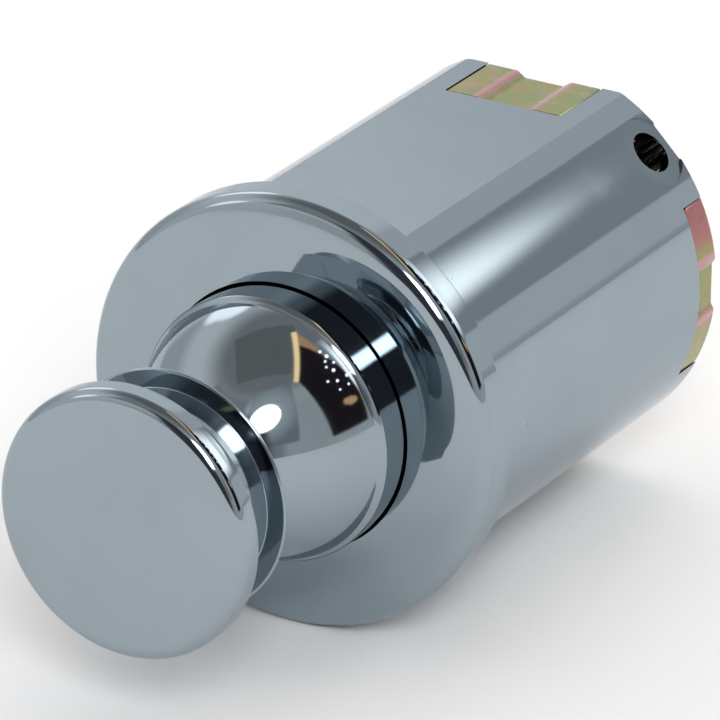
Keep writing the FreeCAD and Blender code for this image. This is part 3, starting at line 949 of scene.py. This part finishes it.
def screw_blank():
    tip_y, rear = low["bridge_plate_screws"].y, high["bridge_plate_screws"].y
    outline = [(0.0, tip_y), (screw_radius, tip_y), (screw_radius, screw_head_y),
               (screw_head_radius, screw_head_y), (screw_head_radius, rear), (0.0, rear)]
    blank = turned("screw", eased(outline, screw_ease), bright_steel, steps=40)
    slot = solid_box((-far, far), (rear - screw_slot_depth, far), (-screw_slot_half, screw_slot_half))
    return combined(blank, "DIFFERENCE", [slot])


corners = corners_tree()
screws = four("plate_screws", screw_blank(), 2 * screw_x, 2 * screw_z, bright_steel)
finished(screws, "housing", "bridge_plate_screws")

post_outline = [(0.0, post_front_y), (post_radius, post_front_y), (post_radius, post_rear_y),
                (0.0, post_rear_y)]
post_blank = turned("post", eased(post_outline, post_ease), bright_steel, steps=40)
post_width = 2 * (high["spacer_posts"].x - post_radius)
post_height = 2 * (high["spacer_posts"].z - post_radius)
posts = four("guide_posts", post_blank, post_width, post_height, bright_steel)
finished(posts, "housing", "spacer_posts")
print("screws and posts:", len(screws.data.polygons), "and", len(posts.data.polygons), "faces")

# %% [markdown]
# ## The springs
#
# A spring is a wire on a helix, which Geometry Nodes has as a primitive. It shortens when the knob goes in,
# and each spring is given a mesh of its own.

# %% Wind the springs
def spring_tree():
    names = {"Radius": "Float", "Wire": "Float", "Turns": "Float", "Length": "Float", "Start": "Float",
             "Material": "Material"}
    group, tree, source = new_tree("coil_spring", names)
    radius, length = source.take("Radius"), source.take("Length")
    shape = {"Resolution": 48, "Rotations": source.take("Turns"), "Height": length,
             "Start Radius": radius, "End Radius": radius, "Reverse": True}
    helix = tree.add("GeometryNodeCurveSpiral", inputs=shape)
    start = tree.add("ShaderNodeCombineXYZ", inputs={"Y": source.take("Start")})
    laid = tree.add("GeometryNodeTransform",
                    inputs={"Geometry": helix, "Translation": start, "Rotation": (-math.pi / 2, 0.0, 0.0)})
    section = tree.add("GeometryNodeCurvePrimitiveCircle",
                       inputs={"Resolution": 16, "Radius": source.take("Wire") * 0.5})
    tube = {"Curve": laid, "Profile Curve": section, "Fill Caps": True}
    close_tree(tree, tree.add("GeometryNodeCurveToMesh", inputs=tube), source)
    return group


def spring(name, node, body, wire, turns):
    """A wound spring in place of a node."""
    length = high[node].y - low[node].y - wire
    radius = high[node].z - wire / 2
    seed = bpy.data.meshes.new(name)
    made = grown(name, seed, coil, Radius=radius, Wire=wire, Turns=turns, Length=length,
                 Start=low[node].y + wire / 2, Material=spring_steel)
    finished(made, body, node)
    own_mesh(made)
    print(name, round(length / MM, 2), "mm long,", turns, "turns")


coil = spring_tree()
spring("knob_spring_wire", "knob_spring", "knob_group", wire=0.8 * MM, turns=6.0)
spring("return_spring_wire", "return_spring", "housing", wire=0.7 * MM, turns=2.5)

# %% [markdown]
# ## The rest of the works
#
# The cam, its rod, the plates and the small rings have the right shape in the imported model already, so they
# only take their finish, each on the slot that the record names for it.

# %% Finish the carried-over nodes
finish_of_slot = {
    "chrome_barrel": chrome_barrel, "chrome_knob": chrome_knob, "yellow_zinc": zinc_bolts,
    "bright_steel": bright_steel, "spring_steel": spring_steel, "black_rubber": black_rubber,
    "white_nylon": white_nylon}
for node, thing in frame["nodes"].items():
    if not thing.hide_render:
        dress_material(thing, finish_of_slot[slots[node]])
        print("kept", node, "in", slots[node])

# %% [markdown]
# ## A tent painted on directions
#
# A mirror shows its surroundings, so chrome is lit by what stands around it. Here that is a light tent,
# painted on the world patch by patch, as formulas on the direction. A patch is a band between two angles,
# a round spot, or a flat panel with straight edges. Some angles are measured round the barrel's axis,
# because a cylinder mirrors only one cone of directions about its axis.

# %% Directions and patches
def bearing(azimuth, elevation):
    """A direction from the latch: azimuth 0 lies in front of the knob, 90 to its right."""
    a, e = math.radians(azimuth), math.radians(elevation)
    return Vector((math.sin(a) * math.cos(e), -math.cos(a) * math.cos(e), math.sin(e)))


class Sky(Tree):
    """The light tent, painted patch by patch onto the directions."""

    def __init__(self, red, green, blue):
        self.world = bpy.data.worlds.new("light_tent")
        self.world.use_nodes = True
        super().__init__(self.world.node_tree.nodes, self.world.node_tree.links)
        self.nodes.clear()
        self.way = self.add("ShaderNodeTexCoord", output="Generated")
        x = self.add("ShaderNodeSeparateXYZ", inputs={0: self.way})
        y, z = x.take("Y"), x.take("Z")
        self.height = z.maths("ARCSINE").maths("DEGREES")
        self.compass = x.maths("ARCTAN2", 0 - y).maths("DEGREES")
        self.around = z.maths("ARCTAN2", x).maths("DEGREES")
        self.from_rear = y.maths("ARCCOSINE").maths("DEGREES")
        self.light = colour(red, green, blue)

    def span(self, value, start, end, soft):
        """1 between two angles, with soft edges, and 0 elsewhere."""
        rise = value.between(start - soft, start + soft)
        return rise * value.between(end + soft, end - soft)

    def facing(self, way):
        """The cosine of the angle to a given direction."""
        return self.vectors("DOT_PRODUCT", self.way, way, "Value")

    def spot(self, azimuth, elevation, radius, soft):
        """1 within a radius of one direction, with a soft edge."""
        outer = math.cos(math.radians(radius + soft))
        inner = math.cos(math.radians(max(radius - soft, 0.0)))
        return self.facing(bearing(azimuth, elevation)).between(outer, inner)

    def panel(self, corners, soft):
        """1 inside a flat convex panel whose corners lie at the given bearings, with soft edges."""
        ways = [bearing(*corner) for corner in corners]
        middle = sum(ways, Vector())
        share = None
        for start, end in zip(ways, ways[1:] + ways[:1]):
            inward = start.cross(end).normalized()
            if inward.dot(middle) < 0:
                inward.negate()
            inside = self.facing(inward).between(-soft, soft)
            share = inside if share is None else share * inside
        return share

    def paint(self, share, red, green, blue):
        self.light = self.blend(share, self.light, colour(red, green, blue))

    def paint_spots(self, spots, soft, red, green, blue):
        """Paint several spots alike, each given as its azimuth, elevation and radius."""
        for azimuth, elevation, radius in spots:
            self.paint(self.spot(azimuth, elevation, radius, soft), red, green, blue)

    def finish(self):
        background = self.add("ShaderNodeBackground", inputs={"Color": self.light, "Strength": 1.0})
        self.add("ShaderNodeOutputWorld", inputs={"Surface": background})
        bpy.context.scene.world = self.world


sky = Sky(0.66, 0.66, 0.67)
print("tent ready")

# %% [markdown]
# ## Walls and ceiling
#
# The tent's walls are bright above the height of the latch and turn grey overhead, where a darker square
# panel shows in the dome of the knob. The wall to the right stays lighter higher up, and a grey curtain
# hangs in front on the left.

# %% Paint the walls and the ceiling
upper_wall = sky.height.between(16.0, 30.0)
under_roof = sky.height.between(38.0, 62.0)
side_lamp = sky.spot(-57.0, 26.0, 6.0, 3.0)
left_wall = sky.span(sky.compass, -75.0, -30.0, 8.0) * sky.height.between(34.0, 24.0)
ceiling_panel = sky.panel(((-95.0, 60.2), (-17.8, 60.9), (69.3, 64.3), (-175.5, 69.1)), 0.012)
right_wall = sky.span(sky.compass, 50.0, 85.0, 9.0) * sky.height.between(60.0, 40.0)
curtain = sky.span(sky.compass, -46.0, 14.0, 5.0) * sky.span(sky.height, 31.0, 54.0, 3.0)
sky.paint(upper_wall, 0.95, 0.95, 0.95)
sky.paint(left_wall, 0.80, 0.80, 0.81)
sky.paint(under_roof, 0.33, 0.33, 0.33)
sky.paint(ceiling_panel, 0.235, 0.237, 0.23)
sky.paint(right_wall, 0.60, 0.60, 0.61)
sky.paint(curtain, 0.38, 0.38, 0.40)
sky.paint(side_lamp, 2.0, 2.0, 2.0)
print("walls and ceiling painted,", len(sky.nodes), "nodes so far")

# %% [markdown]
# ## The window behind the latch
#
# The barrel mirrors a cone of directions behind it, and each band of angles round the axis becomes a stripe
# along it. From the right side upwards these are a grey line, a pale wall, a bright window in its grey
# frame, a post and a bright wall. The angle from the rear varies a little along the barrel, and the window's
# edges follow it, so its stripe tapers.

# %% Paint the window behind the latch
rear = sky.from_rear.between(66.0, 56.0)
low_line = sky.around.between(-2.0, 0.0)
low_wall = sky.around.between(2.0, 5.0)
high_wall = sky.around.between(84.0, 101.0)
window_post = sky.span(sky.around, 71.0, 91.0, 3.0)
seen_by_flat = sky.span(sky.around, 104.0, 172.0, 8.0) * sky.from_rear.between(37.6, 35.4)
frame_panel = sky.span(sky.around, 24.0, 71.5, 1.2) * sky.from_rear.between(78.0, 70.0)
nearer = (sky.from_rear - 37.0).maths("MINIMUM", 2.0)
glass_low = nearer * -5.0 + 34.0
glass_high = nearer * 2.0 + 70.5
glass = sky.around.between(glass_low, glass_low + 13.0) * sky.around.between(glass_high, glass_high - 22.0)
glass = glass * sky.from_rear.between(35.4, 37.2) * sky.from_rear.between(72.0, 70.0)
glass_bar = sky.span(sky.from_rear, 37.6, 41.0, 0.5)
sky.paint(rear * low_line, 0.60, 0.61, 0.63)
sky.paint(rear * low_wall, 0.79, 0.80, 0.82)
sky.paint(rear * high_wall, 1.02, 1.02, 1.02)
sky.paint(rear * window_post, 0.74, 0.75, 0.77)
sky.paint(rear * seen_by_flat, 0.85, 0.86, 0.88)
sky.paint(frame_panel, 0.45, 0.46, 0.48)
sky.paint(glass * (1.0 - glass_bar * 0.5), 2.6, 2.6, 2.55)
print("window painted,", len(sky.nodes), "nodes so far")

# %% [markdown]
# ## The doorway to the right
#
# A dark doorway stands to the right of the latch. It has a brown lintel, a golden strip of light along its
# near edge, a few brass spots low down, and small bright lamps far inside.

# %% Paint the doorway
doorway = sky.panel(((84.5, 5.5), (73.0, 56.4), (131.0, 74.9), (110.5, 5.5)), 0.014)
lintel = sky.panel(((166.7, 73.5), (131.0, 74.9), (118.0, 57.0)), 0.02)
lit_edge = sky.panel(((72.6, 56.2), (170.8, 72.6), (177.0, 75.1), (67.6, 57.8)), 0.014)
brass = ((103.6, 23.4, 2.4), (100.6, 24.6, 1.7), (106.4, 22.6, 1.5))
far_lamps = (
    (109.0, 47.0, 0.9), (104.0, 40.0, 0.6), (113.5, 38.0, 0.7), (97.0, 44.0, 0.5), (116.0, 50.0, 0.5),
    (119.0, 56.0, 0.9), (112.0, 55.0, 0.4), (107.0, 52.0, 0.4), (101.0, 34.0, 0.4), (109.5, 33.0, 0.4),
    (122.0, 61.0, 0.6))
sky.paint(doorway, 0.024, 0.018, 0.022)
sky.paint(lintel, 0.85, 0.48, 0.24)
sky.paint(lit_edge, 2.3, 1.55, 0.75)
sky.paint_spots(brass, 1.4, 1.1, 0.60, 0.30)
sky.paint_spots(far_lamps, 0.5, 6.0, 6.0, 6.8)
print("doorway painted,", len(sky.nodes), "nodes so far")

# %% [markdown]
# ## Round the camera
#
# Beside the camera a lamp hangs in its square grey shade, over a stand. The camera's own side of the room
# is dark, apart from a small flash, and shows in the groove behind the knob's disc. Two windows stand at
# the left and to the rear.

# %% Paint the lamp and the dark side of the room
stand = sky.span(sky.compass, 26.0, 54.0, 4.0) * sky.height.between(16.0, 9.0)
lamp_shade = sky.span(sky.compass, 19.0, 63.0, 1.0) * sky.span(sky.height, 11.0, 59.0, 1.0)
dark_front = sky.span(sky.compass, -13.0, 27.0, 4.0) * sky.height.between(31.0, 24.0)
dark_middle = sky.span(sky.compass, 14.0, 40.0, 4.0) * sky.span(sky.height, 8.0, 27.0, 3.0)
dark_cone = sky.from_rear.between(131.0, 139.0) * sky.span(sky.around, -4.0, 108.0, 6.0)
lamp = sky.spot(36.5, 36.6, 10.0, 1.6)
flash = sky.spot(29.0, 25.0, 3.4, 1.4)
left_windows = ((-122.0, 29.0, 6.0), (-125.0, 36.0, 7.0))
sky.paint(stand, 0.37, 0.38, 0.40)
sky.paint(lamp_shade, 0.30, 0.32, 0.33)
sky.paint(lamp_shade * sky.spot(37.0, 38.0, 17.0, 10.0), 0.62, 0.65, 0.67)
sky.paint(dark_front, 0.09, 0.09, 0.10)
sky.paint(dark_middle, 0.05, 0.05, 0.06)
sky.paint(dark_cone, 0.07, 0.07, 0.08)
sky.paint(lamp, 14.0, 14.0, 14.0)
sky.paint(flash, 9.0, 9.0, 9.6)
sky.paint_spots(left_windows, 3.0, 2.2, 2.2, 2.2)
sky.finish()
print("tent painted with", len(sky.nodes), "nodes")

# %% [markdown]
# ## Floor and softbox
#
# The latch lies on a pale floor under one large round softbox. The softbox gives the floor its light and
# the latch its soft shadow. The chrome doesn't mirror it, because the tent has its own bright patches.

# %% Lay the floor and hang the softbox
floor_half = 8.0
floor_thickness = 0.02
floor_top_z = cad_box[0].z
softbox_width = 1.4
softbox_power = 5.2
softbox_place = (-0.25, 0.15, 1.5)


def floor_material():
    finish = Finish("studio_floor")
    cloud = finish.noise(180.0)
    shade = finish.blend(cloud, colour(0.95, 0.95, 0.95), colour(0.92, 0.92, 0.925))
    return finish.surface(base_color=shade, roughness=0.9)


across_floor = (-floor_half, floor_half)
floor = solid_box(across_floor, across_floor, (floor_top_z - floor_thickness, floor_top_z))
floor.name = "floor"
dress_material(floor, floor_material())

softbox = bpy.data.lights.new("softbox", "AREA")
softbox.shape = "DISK"
softbox.size = softbox_width
softbox.energy = softbox_power
softbox_stand = placed("softbox", softbox)
softbox_stand.location = softbox_place
softbox_stand.visible_glossy = False
print("studio: tent, floor and a softbox overhead")

# %% [markdown]
# ## The camera
#
# The photograph was taken from in front, to the right and a little above, with a long lens. The camera's
# place, bearings and lens were solved from the outlines of the flange, the barrel and the disc.

# %% Set the camera
camera_place = Vector((0.21253, -0.35634, 0.18647))
camera_azimuth = 30.392
camera_elevation = 23.900
camera_roll = 0.608
camera_lens = 380.88

eye = bpy.data.cameras.new("camera")
eye.lens = camera_lens
eye.sensor_width = 36.0
eye.clip_start = 0.05
eye.clip_end = 60.0
camera = placed("camera", eye)
back = bearing(camera_azimuth, camera_elevation)
camera.rotation_mode = "QUATERNION"
camera.rotation_quaternion = Quaternion(back, math.radians(camera_roll)) @ (-back).to_track_quat("-Z", "Y")
camera.location = camera_place
bpy.context.scene.camera = camera
bpy.context.scene.view_settings.view_transform = "Standard"
print("camera", round(camera_place.length / MM), "mm from the origin")
